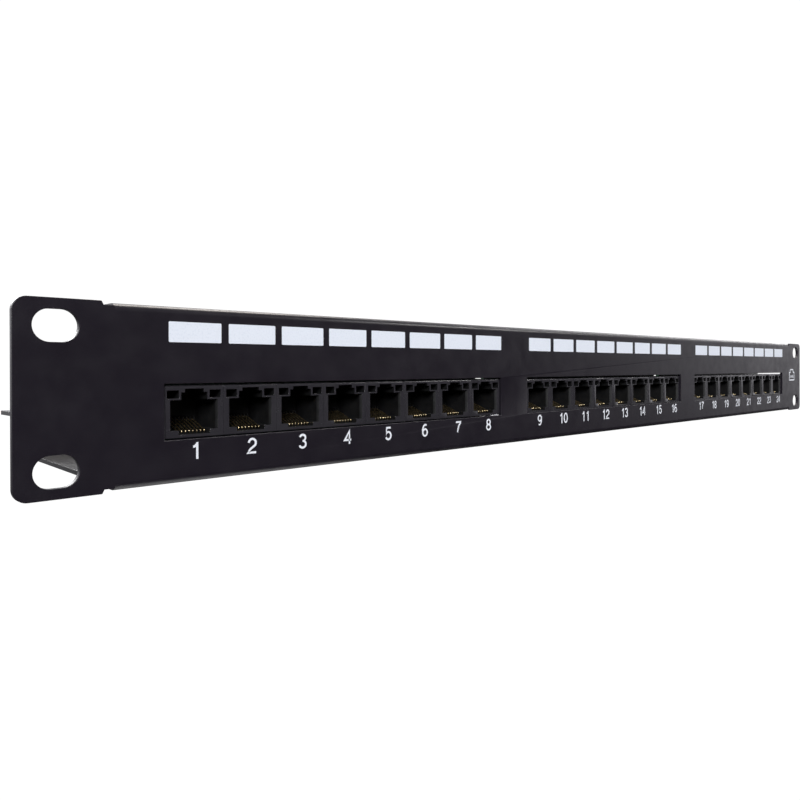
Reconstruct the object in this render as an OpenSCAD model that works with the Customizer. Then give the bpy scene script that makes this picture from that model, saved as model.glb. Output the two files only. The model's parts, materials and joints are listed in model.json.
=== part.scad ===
// Rack patch panel, one rack unit high: a folded steel panel with three modules of eight sockets.
// +X runs to the right as seen from the front, +Y to the rear and +Z up. The origin is the centre
// of the rack mounting plane, which is the rear face of the two ears.

/* [Panel] */
// Width over both ears
panel_w = 482.6; // [482:0.1:483.4]
// Height of the ears
ear_h = 43.8; // [43.4:0.1:44.2]
// Corner radius of the ears
ear_r = 3; // [2:0.5:4]
// Thickness of the panel sheet
sheet_t = 1.5; // [1.2:0.1:1.6]
// Length of the part with folded flanges
channel_w = 440; // [438:0.5:441]
// Height over the two flanges
channel_h = 43.1; // [42.8:0.1:43.4]
// Depth of the flanges from the front face
flange_d = 18; // [17.5:0.1:18.5]
// Outer radius of the folds
fold_r = 1.8; // [1.7:0.1:2.2]
// Width of a bend-relief notch at the end of a flange
notch_w = 2.9; // [2:0.1:3]
// Depth of a bend-relief notch below the edge of the ear
notch_d = 1; // [0.8:0.1:1.5]

/* [Rack slots] */
// Distance between the left and right slots
rack_x = 465.14; // [464.5:0.01:465.5]
// Distance between the upper and lower slots
rack_z = 31.75; // [31.7:0.01:31.8]
// Length of a slot
slot_l = 9.6; // [9:0.1:11]
// Width of a slot
slot_w = 7.2; // [6.5:0.1:7.4]

/* [Modules] */
// Distance between the centres of two modules
module_pitch = 144; // [143.8:0.1:144.6]
// Width of a window in the panel
window_w = 128.3; // [128.2:0.1:129]
// Height of a window
window_h = 13.7; // [13.6:0.1:14]
// Height of the window's centre
window_z = -4.05; // [-4.2:0.05:-3.9]
// How far the sockets of each module sit below the top of their place
module_drop = [0, 0.3, 0.3];

/* [Sockets] */
// Distance between two neighbouring sockets
port_pitch = 16; // [15.95:0.01:16.02]
// Width of a socket housing
housing_w = 15.94; // [15.9:0.01:15.94]
// Height of a socket housing
housing_h = 13; // [12.9:0.1:13.1]
// How far the housing's face sits behind the panel's face
face_recess = 0.8; // [0.5:0.1:1.2]
// Depth from the housing's face to the circuit board
housing_d = 16.2; // [16:0.1:16.4]
// Width of the mouth that the plug enters
mouth_w = 12.8; // [12.6:0.1:12.9]
// Width of the socket inside, behind the lead-in
throat_w = 12; // [11.9:0.05:12.1]
// Depth of the socket, from its face to its rear wall
socket_d = 11.4; // [11:0.1:11.8]
// Width of an indicator pocket
pocket_w = 3.1; // [2.8:0.1:3.2]
// Height of an indicator pocket
pocket_h = 2; // [1.8:0.1:2.1]

/* [Spring contacts] */
// Distance between two neighbouring wires
wire_pitch = 1.02; // [1:0.01:1.04]
// Diameter of a wire
wire_d = 0.44; // [0.4:0.02:0.48]
// Length of a wire's free leg
wire_l = 8.4; // [8:0.1:8.6]
// Angle at which the leg rises towards the rear
wire_rise = 20; // [18:1:21]

/* [Rear] */
// Width of a circuit board
board_w = 139; // [138:0.5:140]
// Height of a circuit board
board_h = 34.8; // [34.4:0.1:35]
// Thickness of a circuit board
board_t = 1.6; // [1.5:0.1:1.7]
// Width of a wire block
block_w = 31.2; // [31:0.1:31.4]
// Height of a wire block
block_h = 13.4; // [13:0.1:13.6]
// Depth of a wire block behind the board
block_d = 14.5; // [14:0.1:15]
// Height of a row of wire blocks above or below the board's middle
block_z = 9.4; // [9.3:0.1:9.6]

/* [Cable manager] */
// Distance from the mounting plane to the tie bar's rear edge
bar_rear = 75.2; // [74:0.1:77]
// Depth of the tie bar
bar_d = 14; // [13:0.5:14.5]
// Width of the tie bar
bar_w = 450; // [446:1:452]
// Height of the tie bar's underside
bar_z = -7.3; // [-8:0.1:-6]

/* [Hidden] */
$fn = 48;
modules = 3;
ports_per_module = 8;
wires = 8;
front_y = -sheet_t;
face_y = front_y + face_recess;
board_y = face_y + housing_d;
inner_z = channel_h / 2 - sheet_t;
slack = 0.05;

// Heights in a socket, from the nominal port level
housing_top = 2.35;
housing_bottom = housing_top - housing_h;
mouth_top = -1.27;
mouth_bottom = -8.8;
step_w = 8.4;
step_bottom = -9.85;
pocket_top = 1.1;
pocket_x = 5.65;
key_w = 7;
key_top = 0.6;
upper_key_w = 5;
upper_key_top = 1.48;
lead_in = 0.8;
pocket_d = 8;

// Comb at the rear of the socket
comb_t = 0.3;
comb_d = 3;
comb_top = -6;

// Hinge line of the spring contacts, where each wire turns round the front lip
hinge_y = face_y + 2.1;
hinge_z = -9.2;
knuckle_r = 0.4;
knuckle_w = 0.6;

// Standoffs and screws of the circuit boards
post_x = 66.3;
post_z = 14.2;
post_flats = 5;
thread_r = 1.5;
screw_clear_r = 1.7;
screw_head_r = 2.7;
screw_head_h = 1.8;
board_screw_l = 7;

// Wire blocks
blocks_in_row = 4;
block_pitch = 31.6;
block_slots = 8;
block_slot_pitch = 3.72;
block_slot_w = 1.3;
block_slot_d = 9;
lead_w = 1.1;
lead_d = 1.6;
tooth_peak = 1.2;
base_d = 4;
blade_w = 2.6;
blade_t = 0.5;
blade_l = 8.2;
blade_slit = 0.4;
blade_slit_d = 6;
blade_sink = 1;

// Cable manager
manager_t = 1.2;
arm_inner_x = 200;
arm_outer_x = [221.9, 220.2, 219];
arm_front = 1.2;
arm_rear = 74;
tab_end = 8;
rise_start = 56;
rise_end = 63;
bar_corner_r = 1.5;
tie_slots = 12;
tie_slot_w = 6;
tie_slot_d = 3;
tie_pitch = 34;
tab_screw_x = [204.5, 216];
tab_screw_y = 5;
tab_screw_l = 2.6;
bar_screw_x = [204.5, 214.5];
bar_screw_y = 69;
bar_screw_l = 2.3;

port_count = modules * ports_per_module;
function two_digits(n) = n < 10 ? str("0", n) : str(n);
function module_of(port) = floor((port - 1) / ports_per_module);
function module_x(m) = (m - (modules - 1) / 2) * module_pitch;
function port_x(port) = module_x(module_of(port))
    + ((port - 1) % ports_per_module - (ports_per_module - 1) / 2) * port_pitch;
function port_drop(port) = module_drop[module_of(port)];

function housing_node(port) = str("jack_housing_", two_digits(port));
function contacts_node(port) = str("spring_contacts_", two_digits(port));
function board_node(m) = str("circuit_board_", m + 1);
function blocks_node(m) = str("wire_blocks_", m + 1);

// Turns an outline drawn in X and Z into a plate from y to y + depth
module plate_xz(y, depth) {
    translate([0, y + depth, 0]) rotate([90, 0, 0]) linear_extrude(depth) children();
}

// Sweeps an outline drawn in Y and Z along X, centred
module sweep_x(width) {
    translate([-width / 2, 0, 0]) rotate([90, 0, 90]) linear_extrude(width) children();
}

// A box from its low corner to its high corner
module span(low, high) {
    translate(low) cube(high - low);
}

module obround(length, width) {
    square([length - width, width], center = true);
    for (side = [-1, 1]) translate([side * (length - width) / 2, 0]) circle(d = width);
}

module rounded_rect(width, height, r) {
    square([width - 2 * r, height], center = true);
    square([width, height - 2 * r], center = true);
    for (sx = [-1, 1], sz = [-1, 1])
        translate([sx * (width / 2 - r), sz * (height / 2 - r)]) circle(r);
}

// Outline of a channel that is open to the rear, with rounded folds, in Y and Z
module channel_outline(height, front, rear, r) {
    translate([front + r, -height / 2]) square([rear - front - r, height]);
    translate([front, -height / 2 + r]) square([r * 2, height - 2 * r]);
    for (side = [-1, 1]) translate([front + r, side * (height / 2 - r)]) circle(r);
}

module ear_outline() {
    difference() {
        rounded_rect(panel_w, ear_h, ear_r);
        square([channel_w, ear_h + 1], center = true);
        for (sx = [-1, 1], sz = [-1, 1]) scale([sx, sz]) polygon([
            [channel_w / 2 - 1, ear_h / 2 + 1],
            [channel_w / 2 - 1, ear_h / 2 - notch_d],
            [channel_w / 2 + notch_w - notch_d / 2, ear_h / 2 - notch_d],
            [channel_w / 2 + notch_w + notch_d / 2, ear_h / 2 + 1]
        ]);
    }
}

module front_panel() color([0.12, 0.11, 0.13]) difference() {
    union() {
        plate_xz(front_y, sheet_t) ear_outline();
        sweep_x(channel_w) difference() {
            channel_outline(channel_h, front_y, front_y + flange_d, fold_r);
            channel_outline(2 * inner_z, 0, flange_d, fold_r - sheet_t);
        }
    }
    plate_xz(front_y - 1, sheet_t + 2) {
        for (sx = [-1, 1], sz = [-1, 1])
            translate([sx * rack_x / 2, sz * rack_z / 2]) obround(slot_l, slot_w);
        for (m = [0 : modules - 1])
            translate([module_x(m), window_z]) square([window_w, window_h], center = true);
    }
    for (side = [-1, 1], x = tab_screw_x)
        translate([side * x, tab_screw_y, -channel_h / 2 - 1])
            cylinder(r = thread_r + slack, h = sheet_t + 2);
}

// Mouth of a socket with its sloped side lead-ins, in X and Y, at height 0
module mouth_plan() {
    polygon([
        [-mouth_w / 2, -1], [-mouth_w / 2, 0], [-throat_w / 2, lead_in], [-throat_w / 2, socket_d],
        [throat_w / 2, socket_d], [throat_w / 2, lead_in], [mouth_w / 2, 0], [mouth_w / 2, -1]
    ]);
}

module jack_housing(port) color([0.2, 0.2, 0.22])
    translate([port_x(port), face_y, -port_drop(port)]) {
        difference() {
            span([-housing_w / 2, 0, housing_bottom], [housing_w / 2, housing_d, housing_top]);
            translate([0, 0, mouth_bottom]) linear_extrude(mouth_top - mouth_bottom) mouth_plan();
            span([-key_w / 2, -1, mouth_top - 1], [key_w / 2, socket_d, key_top]);
            span([-upper_key_w / 2, -1, 0], [upper_key_w / 2, socket_d - 2, upper_key_top]);
            span([-step_w / 2, -1, step_bottom], [step_w / 2, socket_d, mouth_bottom + 1]);
            for (side = [-1, 1]) translate([side * pocket_x, 0, 0]) span(
                [-pocket_w / 2, -1, pocket_top - pocket_h], [pocket_w / 2, pocket_d, pocket_top]);
        }
        for (i = [0 : wires])
            translate([(i - wires / 2) * wire_pitch, 0, 0]) span(
                [-comb_t / 2, socket_d - comb_d, step_bottom - 0.2],
                [comb_t / 2, socket_d + 0.2, comb_top]);
    }

// One wire: a knuckle round the front lip and a straight leg that rises to the rear
module contact_wire() {
    rotate([0, 90, 0]) cylinder(r = knuckle_r, h = knuckle_w, center = true);
    rotate([wire_rise - 90, 0, 0]) cylinder(d = wire_d, h = wire_l);
}

module spring_contacts(port) color("gold")
    translate([port_x(port), hinge_y, hinge_z - port_drop(port)])
        for (i = [0 : wires - 1])
            translate([(i - (wires - 1) / 2) * wire_pitch, 0, 0]) contact_wire();

module circuit_board(m) color([0.05, 0.3, 0.12]) translate([module_x(m), 0, 0])
    plate_xz(board_y, board_t) difference() {
        square([board_w, board_h], center = true);
        for (sx = [-1, 1], sz = [-1, 1]) translate([sx * post_x, sz * post_z]) circle(screw_clear_r);
    }

// Comb outline of a wire block, in X and Y, with y measured from the board
module block_outline() {
    half_slot = block_slot_w / 2;
    difference() {
        polygon(concat(
            [[-block_w / 2, 0], [-block_w / 2, block_d - tooth_peak]],
            [for (i = [0 : block_slots], k = [0 : 1])
                let (x = (i - block_slots / 2) * block_slot_pitch, end = i == 0 || i == block_slots)
                [max(-block_w / 2 + 0.01, min(block_w / 2 - 0.01, x + (k - 0.5) * 0.5)),
                    block_d - (end || i % 2 == 1 ? tooth_peak : 0)]],
            [[block_w / 2, block_d - tooth_peak], [block_w / 2, 0]]
        ));
        for (i = [0 : block_slots - 1]) translate([(i - (block_slots - 1) / 2) * block_slot_pitch, 0])
            polygon([
                [-half_slot, block_d - block_slot_d], [-half_slot, block_d - tooth_peak - lead_d],
                [-half_slot - lead_w / 2, block_d + 1], [half_slot + lead_w / 2, block_d + 1],
                [half_slot, block_d - tooth_peak - lead_d], [half_slot, block_d - block_slot_d]
            ]);
    }
}

// Places children at each wire block of a module, on the back of its board
module at_blocks(m) {
    for (row = [-1, 1], i = [0 : blocks_in_row - 1])
        translate([module_x(m) + (i - (blocks_in_row - 1) / 2) * block_pitch, board_y + board_t, 0])
            translate([0, 0, row * block_z]) children();
}

// Places children at each slot of one wire block
module at_block_slots() {
    for (i = [0 : block_slots - 1])
        translate([(i - (block_slots - 1) / 2) * block_slot_pitch, 0, 0]) children();
}

module wire_blocks(m) color([0.16, 0.16, 0.17]) at_blocks(m) difference() {
    translate([0, 0, -block_h / 2]) linear_extrude(block_h) block_outline();
    at_block_slots() translate([0, block_d - block_slot_d - blade_sink, 0]) span(
        [-blade_w / 2 - slack, 0, -blade_t / 2 - slack],
        [blade_w / 2 + slack, block_slot_d, blade_t / 2 + slack]);
}

module wire_blades() color("silver") for (m = [0 : modules - 1]) at_blocks(m) at_block_slots()
    translate([0, block_d - block_slot_d - blade_sink, 0]) difference() {
        span([-blade_w / 2, 0, -blade_t / 2], [blade_w / 2, blade_l, blade_t / 2]);
        span([-blade_slit / 2, blade_l - blade_slit_d, -blade_t], [blade_slit / 2, blade_l + 1, blade_t]);
    }

// Places children at the four standoffs of every module
module at_posts(y) {
    for (m = [0 : modules - 1], sx = [-1, 1], sz = [-1, 1])
        translate([module_x(m) + sx * post_x, y, sz * post_z]) rotate([-90, 0, 0]) children();
}

module board_standoffs() color("silver") at_posts(0) difference() {
    cylinder(d = post_flats / cos(30), h = board_y, $fn = 6);
    translate([0, 0, 4]) cylinder(r = thread_r + slack, h = board_y);
}

// Pan-head screw, head upwards from height 0, shank downwards
module pan_screw(shank_l) {
    difference() {
        cylinder(r = screw_head_r, h = screw_head_h);
        for (turn = [0, 90]) rotate(turn)
            translate([0, 0, screw_head_h]) cube([3, 0.7, 1.8], center = true);
    }
    translate([0, 0, -shank_l]) cylinder(r = thread_r, h = shank_l + 0.5);
}

// Side outline of a manager arm, in Y and Z, from the lower flange up to the tie bar's underside
module arm_side() {
    low = -inner_z;
    high = bar_z - manager_t;
    polygon([
        [arm_front, low], [rise_start, low], [rise_end, high], [arm_rear, high],
        [arm_rear, high + manager_t], [rise_end - 0.7, high + manager_t],
        [rise_start - 0.7, low + manager_t], [arm_front, low + manager_t]
    ]);
}

// Top outline of the right arm, in X and Y
module arm_plan() {
    polygon([
        [arm_inner_x, arm_front], [arm_outer_x[0], arm_front], [arm_outer_x[0], tab_end],
        [arm_outer_x[1], rise_start], [arm_outer_x[2], rise_end], [arm_outer_x[2], arm_rear],
        [arm_inner_x, arm_rear]
    ]);
}

module manager_arms() color([0.35, 0.35, 0.36]) for (side = [-1, 1]) scale([side, 1, 1]) difference() {
    intersection() {
        translate([(arm_inner_x + arm_outer_x[0]) / 2, 0, 0])
            sweep_x(arm_outer_x[0] - arm_inner_x + 2) arm_side();
        translate([0, 0, -channel_h]) linear_extrude(2 * channel_h) arm_plan();
    }
    for (x = tab_screw_x)
        translate([x, tab_screw_y, -inner_z - 1]) cylinder(r = screw_clear_r, h = manager_t + 2);
    for (x = bar_screw_x)
        translate([x, bar_screw_y, bar_z - manager_t - 1]) cylinder(r = thread_r + slack, h = manager_t + 2);
}

module tie_bar() color([0.35, 0.35, 0.36]) difference() {
    translate([0, bar_rear - bar_d / 2, bar_z])
        linear_extrude(manager_t) rounded_rect(bar_w, bar_d, bar_corner_r);
    for (side = [-1, 1], x = bar_screw_x)
        translate([side * x, bar_screw_y, bar_z - 1]) cylinder(r = screw_clear_r, h = manager_t + 2);
    for (i = [0 : tie_slots - 1], row = [-1, 1])
        translate([(i - (tie_slots - 1) / 2) * tie_pitch, bar_rear - bar_d / 2 + row * 3.4, bar_z - 1])
            linear_extrude(manager_t + 2) obround(tie_slot_w, tie_slot_d);
}

// The screws that hold the circuit boards, the manager's arms and the tie bar
module screws() color("silver") {
    at_posts(board_y + board_t) pan_screw(board_screw_l);
    for (side = [-1, 1]) {
        for (x = tab_screw_x)
            translate([side * x, tab_screw_y, -inner_z + manager_t]) pan_screw(tab_screw_l);
        for (x = bar_screw_x)
            translate([side * x, bar_screw_y, bar_z + manager_t]) pan_screw(bar_screw_l);
    }
}

front_panel();
for (port = [1 : port_count]) {
    jack_housing(port);
    spring_contacts(port);
}
for (m = [0 : modules - 1]) {
    circuit_board(m);
    wire_blocks(m);
}
wire_blades();
board_standoffs();
manager_arms();
tie_bar();
screws();
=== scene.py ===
"""The looks of a rack patch panel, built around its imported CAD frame.

Sizes are in millimetres and become metres through MM. Positions come from the frame: the CAD
nodes' boxes, the record's mounts and its joints. The front of the panel faces -Y.
"""

import json
import math

import bmesh
import bpy
from mathutils import Matrix, Vector


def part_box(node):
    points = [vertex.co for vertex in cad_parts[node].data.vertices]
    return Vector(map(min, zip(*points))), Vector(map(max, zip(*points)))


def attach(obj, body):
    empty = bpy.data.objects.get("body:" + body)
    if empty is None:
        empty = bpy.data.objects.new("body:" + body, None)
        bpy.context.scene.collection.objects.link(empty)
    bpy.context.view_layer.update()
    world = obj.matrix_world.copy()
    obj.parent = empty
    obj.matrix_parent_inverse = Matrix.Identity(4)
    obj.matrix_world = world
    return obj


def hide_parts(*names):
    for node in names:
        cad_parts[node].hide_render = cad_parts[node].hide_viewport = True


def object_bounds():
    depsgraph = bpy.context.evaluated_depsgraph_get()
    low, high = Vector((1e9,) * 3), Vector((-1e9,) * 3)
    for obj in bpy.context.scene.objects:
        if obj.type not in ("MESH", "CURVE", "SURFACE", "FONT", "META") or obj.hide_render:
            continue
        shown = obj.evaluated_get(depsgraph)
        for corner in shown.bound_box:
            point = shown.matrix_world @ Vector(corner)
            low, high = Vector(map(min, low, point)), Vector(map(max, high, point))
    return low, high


MM = 0.001
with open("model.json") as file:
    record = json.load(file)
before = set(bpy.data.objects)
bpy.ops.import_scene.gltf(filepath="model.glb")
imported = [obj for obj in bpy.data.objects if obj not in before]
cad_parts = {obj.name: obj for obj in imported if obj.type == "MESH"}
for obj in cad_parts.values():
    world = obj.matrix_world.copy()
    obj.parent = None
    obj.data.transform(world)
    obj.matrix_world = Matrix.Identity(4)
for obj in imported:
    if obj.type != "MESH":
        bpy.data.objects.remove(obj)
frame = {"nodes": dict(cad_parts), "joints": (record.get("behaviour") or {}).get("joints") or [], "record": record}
cad_low, cad_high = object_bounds()
mounts = {m["name"]: m for m in frame["record"]["mounts"]}
joints = {j["name"]: j for j in frame["joints"]}
PORTS = sorted(name for name in mounts if name.startswith("port_"))
MODULES = [PORTS[0:8], PORTS[8:16], PORTS[16:24]]


# ---------------------------------------------------------------- camera and light

CAMERA_AT = Vector((-282.53, -163.08, 6.46)) * MM
CAMERA_YAW = math.radians(43.235)
CAMERA_PITCH = math.radians(-0.206)
CAMERA_ROLL = math.radians(-0.143)
CAMERA_LENS_MM = 31.64
CAMERA_SHIFT_Y = -0.0369

# The light from the backdrop: how strong it is in front, and the direction components from and
# to which it grows, with the strength that it reaches there. Lower down it is dimmed.
BACKDROP_STRENGTH = 1.05
SKY_COLOUR = (0.97, 0.96, 1.0)
FRONT_GLOW = 0.04
SKY_GLOWS = [("X", 0.84, 1.0, 1.45), ("Y", 0.05, 0.4, 0.95)]
DIM_BELOW = (-0.16, 0.1)
DIM_TO = 0.1
COOL_WHITE = (0.97, 0.98, 1.0)
WARM_WHITE = (1.0, 0.94, 0.87)
SOFT_WHITE = (1.0, 0.98, 0.96)
FLOOR_DROP = 0.8
FLOOR_SIZE = 1.0


def make_camera():
    """A camera close to the panel's left end, turned to look along its face."""
    yaw, pitch, roll = CAMERA_YAW, CAMERA_PITCH, CAMERA_ROLL
    level = Vector((math.sin(yaw), math.cos(yaw), 0))
    ahead = level * math.cos(pitch) + Vector((0, 0, math.sin(pitch)))
    right = Vector((math.cos(yaw), -math.sin(yaw), 0))
    up = right.cross(ahead)
    x_axis = right * math.cos(roll) + up * math.sin(roll)
    y_axis = up * math.cos(roll) - right * math.sin(roll)
    camera = bpy.data.objects.new("camera", bpy.data.cameras.new("camera"))
    bpy.context.scene.collection.objects.link(camera)
    turned = Matrix((x_axis, y_axis, -ahead)).transposed().to_4x4()
    camera.matrix_world = Matrix.Translation(CAMERA_AT) @ turned
    camera.data.lens = CAMERA_LENS_MM
    camera.data.sensor_width = 36
    camera.data.shift_y = CAMERA_SHIFT_Y
    camera.data.clip_start = 0.005
    camera.data.clip_end = 50
    bpy.context.scene.camera = camera


def add_area_light(name, at, towards, size, power, colour=(1, 1, 1)):
    light = bpy.data.lights.new(name, "AREA")
    light.shape = "RECTANGLE"
    light.size, light.size_y = size
    light.energy = power
    light.color = colour
    lamp = bpy.data.objects.new(name, light)
    bpy.context.scene.collection.objects.link(lamp)
    lamp.location = at
    lamp.rotation_euler = (Vector(towards) - Vector(at)).to_track_quat("-Z", "Y").to_euler()


def make_world():
    """A white backdrop. Its light is full behind and far to the right, and low in front and below."""
    world = bpy.data.worlds.new("studio")
    bpy.context.scene.world = world
    world.use_nodes = True
    nodes, links = world.node_tree.nodes, world.node_tree.links
    lit, seen = nodes["Background"], nodes.new("ShaderNodeBackground")
    seen.inputs["Color"].default_value = (1, 1, 1, 1)
    seen.inputs["Strength"].default_value = BACKDROP_STRENGTH
    lit.inputs["Color"].default_value = (*SKY_COLOUR, 1)
    split = nodes.new("ShaderNodeSeparateXYZ")
    links.new(nodes.new("ShaderNodeTexCoord").outputs["Generated"], split.inputs["Vector"])
    brightest = None
    for axis, start, end, strength in SKY_GLOWS:
        glow = nodes.new("ShaderNodeMapRange")
        glow.interpolation_type = "SMOOTHSTEP"
        glow.inputs["From Min"].default_value = start
        glow.inputs["From Max"].default_value = end
        glow.inputs["To Min"].default_value = FRONT_GLOW
        glow.inputs["To Max"].default_value = strength
        links.new(split.outputs[axis], glow.inputs["Value"])
        if brightest:
            larger = nodes.new("ShaderNodeMath")
            larger.operation = "MAXIMUM"
            links.new(brightest, larger.inputs[0])
            links.new(glow.outputs["Result"], larger.inputs[1])
            brightest = larger.outputs["Value"]
        else:
            brightest = glow.outputs["Result"]
    below = nodes.new("ShaderNodeMapRange")
    below.interpolation_type = "SMOOTHSTEP"
    below.inputs["From Min"].default_value, below.inputs["From Max"].default_value = DIM_BELOW
    below.inputs["To Min"].default_value = DIM_TO
    links.new(split.outputs["Z"], below.inputs["Value"])
    dimmed = nodes.new("ShaderNodeMath")
    dimmed.operation = "MULTIPLY"
    links.new(brightest, dimmed.inputs[0])
    links.new(below.outputs["Result"], dimmed.inputs[1])
    links.new(dimmed.outputs["Value"], lit.inputs["Strength"])
    path = nodes.new("ShaderNodeLightPath")
    mix = nodes.new("ShaderNodeMixShader")
    links.new(path.outputs["Is Camera Ray"], mix.inputs["Fac"])
    links.new(lit.outputs["Background"], mix.inputs[1])
    links.new(seen.outputs["Background"], mix.inputs[2])
    links.new(mix.outputs["Shader"], nodes["World Output"].inputs["Surface"])


make_camera()
make_world()
bpy.context.scene.view_settings.view_transform = "Standard"
add_area_light("key_light", at=(-1.9, -2.3, 1.9), towards=(0.02, 0, 0), size=(1.3, 1.3), power=148,
               colour=COOL_WHITE)
add_area_light("overhead_light", at=(0.2, 0.25, 0.9), towards=(-0.15, 0, 0), size=(0.4, 0.5), power=6.5,
               colour=WARM_WHITE)
add_area_light("edge_light", at=(1.15, -0.86, 0.75), towards=(-0.1, 0, 0), size=(0.3, 0.3), power=5.0,
               colour=SOFT_WHITE)
add_area_light("strip_light", at=(1.6, 0.12, 0.92), towards=(0, 0, 0), size=(0.3, 1.0), power=4.5)
add_area_light("rear_light", at=(-0.5, 1.8, 0.9), towards=(0, 0, 0), size=(1.4, 1.0), power=30.0)


# ---------------------------------------------------------------- materials


class Finish:
    """A procedural material: a Principled shader with helpers that add detail from noise."""

    def __init__(self, name, colour, roughness, metallic=0.0, ior=1.5, coat=0.0):
        self.material = bpy.data.materials.new(name)
        self.material.use_nodes = True
        self.nodes = self.material.node_tree.nodes
        self.links = self.material.node_tree.links
        self.shader = self.nodes["Principled BSDF"]
        self.shader.inputs["Base Color"].default_value = (*colour, 1)
        self.shader.inputs["Roughness"].default_value = roughness
        self.shader.inputs["Metallic"].default_value = metallic
        self.shader.inputs["IOR"].default_value = ior
        if coat:
            self.shader.inputs["Coat Weight"].default_value = coat
            self.shader.inputs["Coat Roughness"].default_value = 0.12
        self.place = self.nodes.new("ShaderNodeTexCoord").outputs["Object"]

    def noise(self, grain_mm, detail=3.0, stretch=(1, 1, 1)):
        """Noise whose features are about grain_mm across; stretch lengthens them along an axis."""
        scale = self.nodes.new("ShaderNodeMapping")
        scale.inputs["Scale"].default_value = [1 / s for s in stretch]
        noise = self.nodes.new("ShaderNodeTexNoise")
        noise.inputs["Scale"].default_value = 1 / (grain_mm * MM)
        noise.inputs["Detail"].default_value = detail
        self.links.new(self.place, scale.inputs["Vector"])
        self.links.new(scale.outputs["Vector"], noise.inputs["Vector"])
        return noise.outputs["Fac"]

    def ramp(self, value, low, high, start=0.35, end=0.65):
        """A colour that goes from low to high as value goes from start to end."""
        ramp = self.nodes.new("ShaderNodeValToRGB")
        ramp.color_ramp.elements[0].position = start
        ramp.color_ramp.elements[1].position = end
        ramp.color_ramp.elements[0].color = (*low, 1)
        ramp.color_ramp.elements[1].color = (*high, 1)
        self.links.new(value, ramp.inputs["Fac"])
        return ramp.outputs["Color"]

    def colour_varies(self, value, low, high, start=0.35, end=0.65):
        self.links.new(self.ramp(value, low, high, start, end), self.shader.inputs["Base Color"])
        return self

    def roughness_varies(self, value, low, high):
        spread = self.nodes.new("ShaderNodeMapRange")
        spread.inputs["From Min"].default_value = 0.3
        spread.inputs["From Max"].default_value = 0.7
        spread.inputs["To Min"].default_value = low
        spread.inputs["To Max"].default_value = high
        self.links.new(value, spread.inputs["Value"])
        self.links.new(spread.outputs["Result"], self.shader.inputs["Roughness"])
        return self

    def bump(self, value, height_mm, strength=1.0):
        bump = self.nodes.new("ShaderNodeBump")
        bump.inputs["Distance"].default_value = height_mm * MM
        bump.inputs["Strength"].default_value = strength
        previous = self.shader.inputs["Normal"]
        if previous.is_linked:
            self.links.new(previous.links[0].from_socket, bump.inputs["Normal"])
        self.links.new(value, bump.inputs["Height"])
        self.links.new(bump.outputs["Normal"], previous)
        return self


def powder_coat(name, colour, lighter):
    """Satin powder coat: fine orange peel, a little dust and slight unevenness."""
    finish = Finish(name, colour, 0.34)
    finish.colour_varies(finish.noise(14, 4), colour, lighter, 0.4, 0.75)
    finish.roughness_varies(finish.noise(5, 3), 0.29, 0.4)
    finish.bump(finish.noise(0.9, 2), 0.012)
    finish.bump(finish.noise(0.25, 1), 0.003)
    return finish.material


def moulded_plastic(name, colour, lighter, roughness, ior=1.5):
    """Injection-moulded plastic with a fine spark-eroded texture and faint flow marks."""
    finish = Finish(name, colour, roughness, ior=ior)
    finish.colour_varies(finish.noise(6, 3, (1, 1, 2.5)), colour, lighter)
    finish.roughness_varies(finish.noise(2.2, 3), roughness - 0.06, roughness + 0.08)
    finish.bump(finish.noise(0.12, 2), 0.004)
    return finish.material


def bare_metal(name, colour, darker, roughness, grain_mm=0.5, stretch=(1, 1, 1), bump_mm=0.002):
    finish = Finish(name, colour, roughness, metallic=1.0)
    finish.colour_varies(finish.noise(grain_mm * 4, 3), darker, colour)
    grain = finish.noise(grain_mm, 3, stretch)
    finish.roughness_varies(grain, roughness - 0.08, roughness + 0.1)
    finish.bump(grain, bump_mm)
    return finish.material


def printed_ink(name, colour, darker):
    """Screen-printed ink: nearly even, with pinholes of thinner colour and a slight tooth."""
    finish = Finish(name, colour, 0.45)
    finish.colour_varies(finish.noise(0.5, 4), darker, colour, 0.25, 0.5)
    finish.roughness_varies(finish.noise(1.5, 2), 0.4, 0.55)
    finish.bump(finish.noise(0.2, 2), 0.002)
    return finish.material


def board_laminate():
    """Green solder mask over copper tracks, which show as faint lighter lines."""
    finish = Finish("solder_mask", (0.012, 0.075, 0.03), 0.28, coat=0.4)
    tracks = finish.nodes.new("ShaderNodeTexWave")
    tracks.bands_direction = "Z"
    tracks.inputs["Scale"].default_value = 420
    tracks.inputs["Distortion"].default_value = 2.5
    tracks.inputs["Detail Scale"].default_value = 0.4
    finish.links.new(finish.place, tracks.inputs["Vector"])
    lines = tracks.outputs["Fac"]
    finish.colour_varies(lines, (0.010, 0.062, 0.026), (0.022, 0.125, 0.05), 0.7, 0.8)
    finish.bump(lines, 0.03, 0.5)
    finish.bump(finish.noise(0.4, 2), 0.004)
    return finish.material


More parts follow.
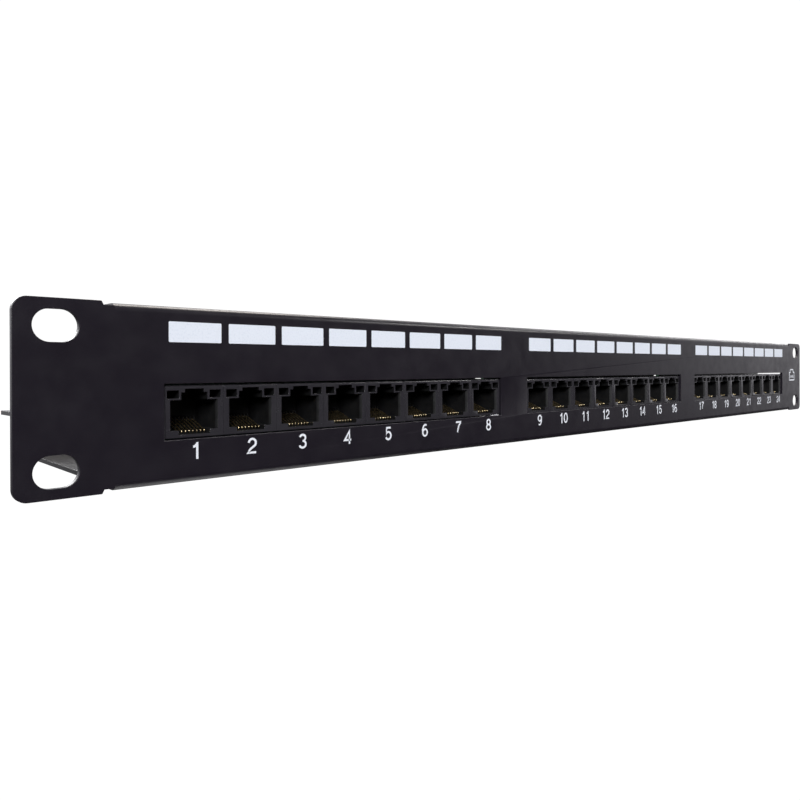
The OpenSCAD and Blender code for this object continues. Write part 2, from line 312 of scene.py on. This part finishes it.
PANEL_COAT = powder_coat("panel_coat", (0.012, 0.0097, 0.0145), (0.0152, 0.0126, 0.018))
MANAGER_COAT = powder_coat("manager_coat", (0.02, 0.0195, 0.021), (0.026, 0.025, 0.027))
JACK_PLASTIC = moulded_plastic("jack_plastic", (0.026, 0.024, 0.029), (0.032, 0.03, 0.035), 0.21)
# Near-black plastic for the inside of each socket: painted shade that stands for the shade in the socket's recess.
SOCKET_PAINTED_SHADE = moulded_plastic("socket_painted_shade", (0.003, 0.003, 0.0035), (0.005, 0.005, 0.0055), 0.5)
BLOCK_PLASTIC = moulded_plastic("block_plastic", (0.018, 0.018, 0.02), (0.026, 0.026, 0.028), 0.4)
GOLD = bare_metal("gold_plate", (0.66, 0.53, 0.33), (0.48, 0.37, 0.2), 0.28, 0.3)
TIN = bare_metal("tin_plate", (0.78, 0.77, 0.74), (0.6, 0.59, 0.57), 0.28, 0.4, (1, 4, 1))
ZINC = bare_metal("zinc_plate", (0.66, 0.66, 0.68), (0.5, 0.5, 0.53), 0.34, 0.35)
BOARD = board_laminate()
LABEL_INK = printed_ink("label_ink", (0.83, 0.87, 0.95), (0.74, 0.79, 0.88))
NUMBER_INK = printed_ink("number_ink", (0.86, 0.88, 0.93), (0.74, 0.77, 0.84))


# ---------------------------------------------------------------- mesh helpers

SHARP_ANGLE = math.radians(32)
STRIP_MM = 0.5


def new_piece(name, mesh, material, body="panel", replaces=()):
    """Links a mesh as a piece that rides on a body, and hides the CAD nodes it replaces."""
    piece = bpy.data.objects.new(name, mesh)
    bpy.context.scene.collection.objects.link(piece)
    mesh.materials.append(material)
    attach(piece, body)
    if replaces:
        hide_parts(*replaces)
    return piece


def mesh_from(name, bm, sharp_degrees=40):
    """Turns a bmesh into a mesh and frees it; edges sharper than sharp_degrees look sharp."""
    bmesh.ops.recalc_face_normals(bm, faces=bm.faces)
    for edge in bm.edges:
        edge.smooth = len(edge.link_faces) == 2 and edge.calc_face_angle(0) < math.radians(sharp_degrees)
    for face in [face for face in bm.faces if not face.smooth]:
        face.smooth = True
        for edge in face.edges:
            edge.smooth = False
    mesh = bpy.data.meshes.new(name)
    bm.to_mesh(mesh)
    bm.free()
    return mesh


def is_strip(face, limit_mm):
    """Whether a face is narrow: a facet of something round, and not a flat face."""
    return face.calc_area() < limit_mm * MM * face.calc_perimeter()


def clean_copy(node):
    """A bmesh of a CAD node with its flat faces merged, ready to be worked on."""
    source = frame["nodes"][node].data
    bm = bmesh.new()
    places = [bm.verts.new(v.co) for v in source.vertices]
    for polygon in source.polygons:
        corners = [places[i] for i in polygon.vertices]
        if len(set(corners)) == len(corners) and not bm.faces.get(corners):
            bm.faces.new(corners)
    bmesh.ops.remove_doubles(bm, verts=bm.verts, dist=1e-6)
    bmesh.ops.recalc_face_normals(bm, faces=bm.faces)
    bmesh.ops.dissolve_limit(bm, angle_limit=math.radians(0.5), verts=bm.verts, edges=bm.edges)
    for face in bm.faces:
        soft = any(edge.calc_face_angle(0) < SHARP_ANGLE for edge in face.edges)
        face.smooth = soft and is_strip(face, STRIP_MM)
    return bm


def round_edges(bm, width_mm, wanted=None, segments=2):
    """Rounds the sharp edges, or those of them that wanted(middle in mm, direction) picks."""
    sharp = []
    for edge in bm.edges:
        if len(edge.link_faces) != 2 or edge.calc_face_angle(0) < SHARP_ANGLE:
            continue
        a, b = (v.co / MM for v in edge.verts)
        if wanted is None or wanted((a + b) / 2, (b - a).normalized()):
            sharp.append(edge)
    rounded = bmesh.ops.bevel(bm, geom=sharp, offset=width_mm * MM, segments=segments,
                              affect="EDGES", profile=0.5, clamp_overlap=True)
    for face in rounded["faces"]:
        if is_strip(face, width_mm / 2):
            face.smooth = True


def finished_copy(node, bm, material, body="panel"):
    """Links a worked copy of a CAD node, which stands for that node."""
    mesh = mesh_from(node + "_finished", bm)
    return new_piece(node + ".finished", mesh, material, body, [node])


def rounded_node(node, width_mm, material, wanted=None):
    bm = clean_copy(node)
    round_edges(bm, width_mm, wanted)
    return finished_copy(node, bm, material)


def add_box(bm, low, high, round_mm=0.0):
    """A box in millimetres from its low to its high corner, with rounded edges if asked."""
    low, high = Vector(low) * MM, Vector(high) * MM
    made = bmesh.ops.create_cube(bm, size=1.0)["verts"]
    for v in made:
        v.co = Vector(low[k] + (v.co[k] + 0.5) * (high[k] - low[k]) for k in range(3))
    if round_mm:
        edges = {e for v in made for e in v.link_edges}
        bmesh.ops.bevel(bm, geom=list(edges), offset=round_mm * MM, segments=2, affect="EDGES",
                        profile=0.5)


def add_tube(bm, points, radius, sides=8):
    """A round wire in metres along points, closed at both ends."""
    rings = []
    for i, p in enumerate(points):
        along = (points[min(i + 1, len(points) - 1)] - points[max(i - 1, 0)]).normalized()
        across = along.cross(Vector((1, 0, 0))).normalized()
        over = along.cross(across)
        rings.append([
            bm.verts.new(p + radius * (across * math.cos(a) + over * math.sin(a)))
            for a in (2 * math.pi * k / sides for k in range(sides))
        ])
    for a, b in zip(rings, rings[1:]):
        for k in range(sides):
            bm.faces.new((a[k], a[(k + 1) % sides], b[(k + 1) % sides], b[k]))
    bm.faces.new(list(reversed(rings[0])))
    bm.faces.new(rings[-1])
    return rings


# ---------------------------------------------------------------- printed marks

# Ink is INK_MM thick and stands INK_PROUD_MM out of the face.
INK_MM = 0.03
INK_PROUD_MM = 0.027
STROKE_MM = 0.6
STROKE_STEP = 0.004
DIGIT_W, DIGIT_H = 2.35, 3.6
DIGIT_GAP = 3.2
DIGIT_TOP_Z = -12.1
PRINT_PITCH = 16.15
NUMBER_SHIFT_X = 0.3
LABEL_W, LABEL_H = 14.05, 5.0
LABEL_Z = 15.35
LABEL_SHIFT_X = 0.5
LABEL_CORNER_R = 0.25
SIGN_AT = (225.5, 1.3)
SIGN_OUTLINE = [(-4.5, -3.4), (4.5, -3.4), (4.5, 1.6), (2.6, 1.6), (2.6, 3.4), (-2.6, 3.4),
                (-2.6, 1.6), (-4.5, 1.6)]
SIGN_STROKE_MM = 0.7
SIGN_PINS = 4
SIGN_PIN_PITCH = 1.6
SIGN_PIN_Z, SIGN_PIN_H = -2.0, 1.8


def arc(cx, cy, rx, ry, start, end, steps=12):
    """Points on an ellipse's arc, in a digit's box of width 1 and height 1, angles in degrees."""
    angles = (math.radians(start + (end - start) * i / steps) for i in range(steps + 1))
    return [(cx + rx * math.cos(a), cy + ry * math.sin(a)) for a in angles]


DIGITS = {
    "0": [arc(0.5, 0.5, 0.46, 0.5, 0, 360, 28)],
    "1": [[(0.7, -0.08), (0.7, 1.08)], arc(0.2, 1.02, 0.42, 0.24, 275, 345, 6)],
    "2": [arc(0.5, 0.7, 0.45, 0.3, 175, -32, 14) + arc(0.85, -0.02, 0.8, 0.42, 118, 172, 5)
          + [(0.0, 0.0), (0.98, 0.0)]],
    "3": [arc(0.48, 0.755, 0.4, 0.245, 165, -90, 14), arc(0.48, 0.26, 0.46, 0.26, 90, -165, 14)],
    "4": [[(0.74, -0.06), (0.74, 1.0), (0.0, 0.27), (1.02, 0.27)]],
    "5": [[(0.9, 1.0), (0.22, 1.0), (0.1, 0.48)] + arc(0.48, 0.32, 0.46, 0.32, 142, -155, 16)],
    "6": [arc(0.5, 0.3, 0.44, 0.3, 0, 360, 24), arc(0.56, 0.46, 0.52, 0.54, 195, 62, 12)],
    "7": [[(0.02, 1.0), (0.98, 1.0)] + arc(1.3, -0.1, 0.95, 1.06, 110, 172, 8)],
    "8": [arc(0.5, 0.76, 0.37, 0.24, 0, 360, 22), arc(0.5, 0.26, 0.45, 0.26, 0, 360, 24)],
    "9": [arc(0.5, 0.7, 0.44, 0.3, 0, 360, 24), arc(0.44, 0.54, 0.52, 0.54, 15, -118, 12)],
}


def add_stroke(bm, points, width, depth, front_y):
    """A flat line of ink through points in X and Z, in metres, with square ends."""
    closed = (Vector(points[0]) - Vector(points[-1])).length < 1e-7
    line = [Vector(p) for p in (points[:-1] if closed else points)]
    count = len(line)
    rows = []
    for i, p in enumerate(line):
        before = line[i - 1] if closed or i else p
        after = line[(i + 1) % count] if closed or i < count - 1 else p
        into, out = (p - before), (after - p)
        into = into.normalized() if into.length > 1e-9 else out.normalized()
        out = out.normalized() if out.length > 1e-9 else into
        side = Vector((-(into + out).y, (into + out).x)).normalized()
        reach = width / 2 / max(0.45, side.dot(Vector((-out.y, out.x))))
        rows.append([
            bm.verts.new((p.x + s * reach * side.x, y, p.y + s * reach * side.y))
            for s, y in ((1, front_y), (-1, front_y), (-1, front_y + depth), (1, front_y + depth))
        ])
    pairs = list(zip(rows, rows[1:])) + ([(rows[-1], rows[0])] if closed else [])
    for a, b in pairs:
        for k in range(4):
            bm.faces.new((a[k], a[(k + 1) % 4], b[(k + 1) % 4], b[k]))
    if not closed:
        bm.faces.new(rows[0])
        bm.faces.new(list(reversed(rows[-1])))


PANEL_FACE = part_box("front_panel")[0].y


def module_centre(module):
    return sum(mounts[name]["pos_m"][0] for name in module) / len(module)


def print_number(port, x):
    """The port's number, as strokes of ink on the panel's face."""
    bm = bmesh.new()
    text = str(port)
    for i, digit in enumerate(text):
        left = x + ((i - (len(text) - 1) / 2) * DIGIT_GAP - DIGIT_W / 2) * MM
        bottom = (DIGIT_TOP_Z - DIGIT_H) * MM
        for layer, stroke in enumerate(DIGITS[digit]):
            points = [(left + u * DIGIT_W * MM, bottom + v * DIGIT_H * MM) for u, v in stroke]
            front = PANEL_FACE - (INK_PROUD_MM - layer * STROKE_STEP) * MM
            add_stroke(bm, points, STROKE_MM * MM, INK_MM * MM, front)
    name = f"number_{port:02d}"
    new_piece(name, mesh_from(name, bm), NUMBER_INK)


def print_label(port, x):
    """The white writing space above the port."""
    name = f"label_{port:02d}"
    bm = bmesh.new()
    face = PANEL_FACE / MM
    centre = x / MM
    add_box(bm, (centre - LABEL_W / 2, face - INK_PROUD_MM, LABEL_Z - LABEL_H / 2),
            (centre + LABEL_W / 2, face - INK_PROUD_MM + INK_MM, LABEL_Z + LABEL_H / 2))
    upright = [e for e in bm.edges if abs(e.verts[0].co.y - e.verts[1].co.y) > 1e-6]
    bmesh.ops.bevel(bm, geom=upright, offset=LABEL_CORNER_R * MM, segments=3, affect="EDGES",
                    profile=0.5)
    new_piece(name, mesh_from(name, bm), LABEL_INK)


for m, module in enumerate(MODULES):
    for i in range(len(module)):
        port = m * len(module) + i + 1
        along = (i - (len(module) - 1) / 2) * PRINT_PITCH * MM
        print_number(port, module_centre(module) + NUMBER_SHIFT_X * MM + along)
        print_label(port, module_centre(module) + LABEL_SHIFT_X * MM + along)


def print_socket_sign(x, z):
    """A plain outline of a socket with its pins, as ink at the right end of the panel."""
    bm = bmesh.new()
    strokes = [SIGN_OUTLINE + SIGN_OUTLINE[:1]]
    for i in range(SIGN_PINS):
        pin_x = (i - (SIGN_PINS - 1) / 2) * SIGN_PIN_PITCH
        strokes.append([(pin_x, SIGN_PIN_Z), (pin_x, SIGN_PIN_Z + SIGN_PIN_H)])
    for stroke in strokes:
        points = [((x + u) * MM, (z + v) * MM) for u, v in stroke]
        add_stroke(bm, points, SIGN_STROKE_MM * MM, INK_MM * MM, PANEL_FACE - INK_PROUD_MM * MM)
    new_piece("socket_sign", mesh_from("socket_sign", bm), NUMBER_INK)


print_socket_sign(*SIGN_AT)


# ---------------------------------------------------------------- sockets

WIRE_R = 0.22
WIRE_PITCH = 1.02
WIRES = 8
LIP_R = 0.4
LIP_POINTS = 8
LEG_SHARES = (0.12, 0.4, 0.7, 0.9, 1.0)
LEG_BOW = 0.25
HOUSING_TOP_R = 0.45
HOUSING_RIM_R = 0.22
SOCKET_RIM_R = 0.08
SKIN_MM = 0.3


def make_contacts(port):
    """Eight gold wires that turn round the front lip and rise to the rear of the socket."""
    number = port.split("_")[1]
    node, body = "spring_contacts_" + number, "contacts_" + number
    hinge = Vector(joints[f"contacts_{number}_flex"]["pos_m"])
    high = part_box(node)[1]
    tip = Vector((0, high.y - hinge.y - WIRE_R * MM, high.z - hinge.z - WIRE_R * MM))
    rise = math.atan2(tip.z, tip.y)
    turn_r = (LIP_R - WIRE_R * 0.8) * MM
    outward = Vector((0, -math.sin(rise), math.cos(rise)))
    bm = bmesh.new()
    for i in range(WIRES):
        start = Vector((hinge.x + (i - (WIRES - 1) / 2) * WIRE_PITCH * MM, hinge.y, hinge.z))
        turn = [rise + math.pi * (1.5 - k / LIP_POINTS) for k in range(LIP_POINTS)]
        points = [start + turn_r * Vector((0, math.cos(a), math.sin(a))) for a in turn]
        for share in LEG_SHARES:
            bow = LEG_BOW * MM * math.sin(math.pi * share)
            points.append(start + tip * share + outward * bow)
        add_tube(bm, points, WIRE_R * MM)
    for face in bm.faces:
        face.smooth = len(face.verts) == 4
    new_piece(node + ".finished", mesh_from(node, bm, 50), GOLD, body, [node])


def make_housing(port):
    """A socket housing, front rim rounded, inside of its socket in near-black painted shade."""
    node = "jack_housing_" + port.split("_")[1]
    low, high = (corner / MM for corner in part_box(node))
    bm = clean_copy(node)
    inside = [
        face for face in bm.faces
        if low.x + SKIN_MM < face.calc_center_median().x / MM < high.x - SKIN_MM
        and low.z + SKIN_MM < face.calc_center_median().z / MM < high.z - SKIN_MM
        and low.y + 0.05 < face.calc_center_median().y / MM < high.y - 0.05
    ]
    # Faces inside the socket take the second, near-black material: painted shade in the recess.
    for face in inside:
        face.material_index = 1

    def top_rim(middle, along):
        return middle.y < low.y + 0.05 and abs(along.x) > 0.9 and middle.z > high.z - 0.1

    def bottom_rim(middle, along):
        return middle.y < low.y + 0.05 and abs(along.x) > 0.9 and middle.z < low.z + 0.1

    def other_rims(middle, along):
        return middle.y < low.y + 0.3 and low.z + 0.4 < middle.z < high.z - 0.4

    round_edges(bm, HOUSING_TOP_R, top_rim, 4)
    round_edges(bm, HOUSING_RIM_R, bottom_rim, 3)
    round_edges(bm, SOCKET_RIM_R, other_rims, 2)
    piece = finished_copy(node, bm, JACK_PLASTIC)
    piece.data.materials.append(SOCKET_PAINTED_SHADE)


for port in PORTS:
    make_housing(port)
    make_contacts(port)


# ---------------------------------------------------------------- panel, boards and rear parts

NOTCH_FROM_MM, NOTCH_TO_MM = 219.2, 224.5


def away_from_notches(middle, along):
    """The tiny edges at the ends of the folds stay as they are."""
    return not NOTCH_FROM_MM < abs(middle.x) < NOTCH_TO_MM or abs(middle.z) < 19


rounded_node("front_panel", 0.15, PANEL_COAT, away_from_notches)
rounded_node("manager_arms", 0.25, MANAGER_COAT)
rounded_node("tie_bar", 0.3, MANAGER_COAT)
rounded_node("board_standoffs", 0.15, ZINC)
rounded_node("screws", 0.12, ZINC)
rounded_node("wire_blades", 0.06, TIN)
for m in range(len(MODULES)):
    rounded_node(f"circuit_board_{m + 1}", 0.08, BOARD)
    rounded_node(f"wire_blocks_{m + 1}", 0.12, BLOCK_PLASTIC)


SOLDER_R, SOLDER_H = 0.55, 0.7
SOLDER_PITCH = 2.04
SOLDER_ROWS_Z = (-0.9, 0.9)


def make_solder_joints(m):
    """Rows of solder domes where the sockets' wires come through a board."""
    board_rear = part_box(f"circuit_board_{m + 1}")[1].y
    per_row = WIRES // 2
    bm = bmesh.new()
    for name in MODULES[m]:
        for row, z in enumerate(SOLDER_ROWS_Z):
            for i in range(per_row):
                along = (i - (per_row - 1) / 2 + (row - 0.5) / 2) * SOLDER_PITCH
                place = Vector((mounts[name]["pos_m"][0] + along * MM, board_rear, z * MM))
                made = bmesh.ops.create_icosphere(bm, subdivisions=2, radius=SOLDER_R * MM)["verts"]
                for v in made:
                    v.co.y *= SOLDER_H / SOLDER_R
                    v.co += place
    for face in bm.faces:
        face.smooth = True
    new_piece(f"solder_joints_{m + 1}", mesh_from("solder_joints", bm, 60), TIN)


for m in range(len(MODULES)):
    make_solder_joints(m)


def make_floor():
    """A plain pale floor well below the panel."""
    bm = bmesh.new()
    bmesh.ops.create_grid(bm, x_segments=2, y_segments=2, size=FLOOR_SIZE / 2)
    floor = bpy.data.objects.new("floor", mesh_from("floor", bm))
    bpy.context.scene.collection.objects.link(floor)
    floor.location = (0, 0, cad_low.z - FLOOR_DROP)
    paint = Finish("floor_paint", (0.95, 0.95, 0.95), 0.8)
    paint.colour_varies(paint.noise(300, 2), (0.93, 0.93, 0.93), (0.96, 0.96, 0.96))
    floor.data.materials.append(paint.material)


make_floor()
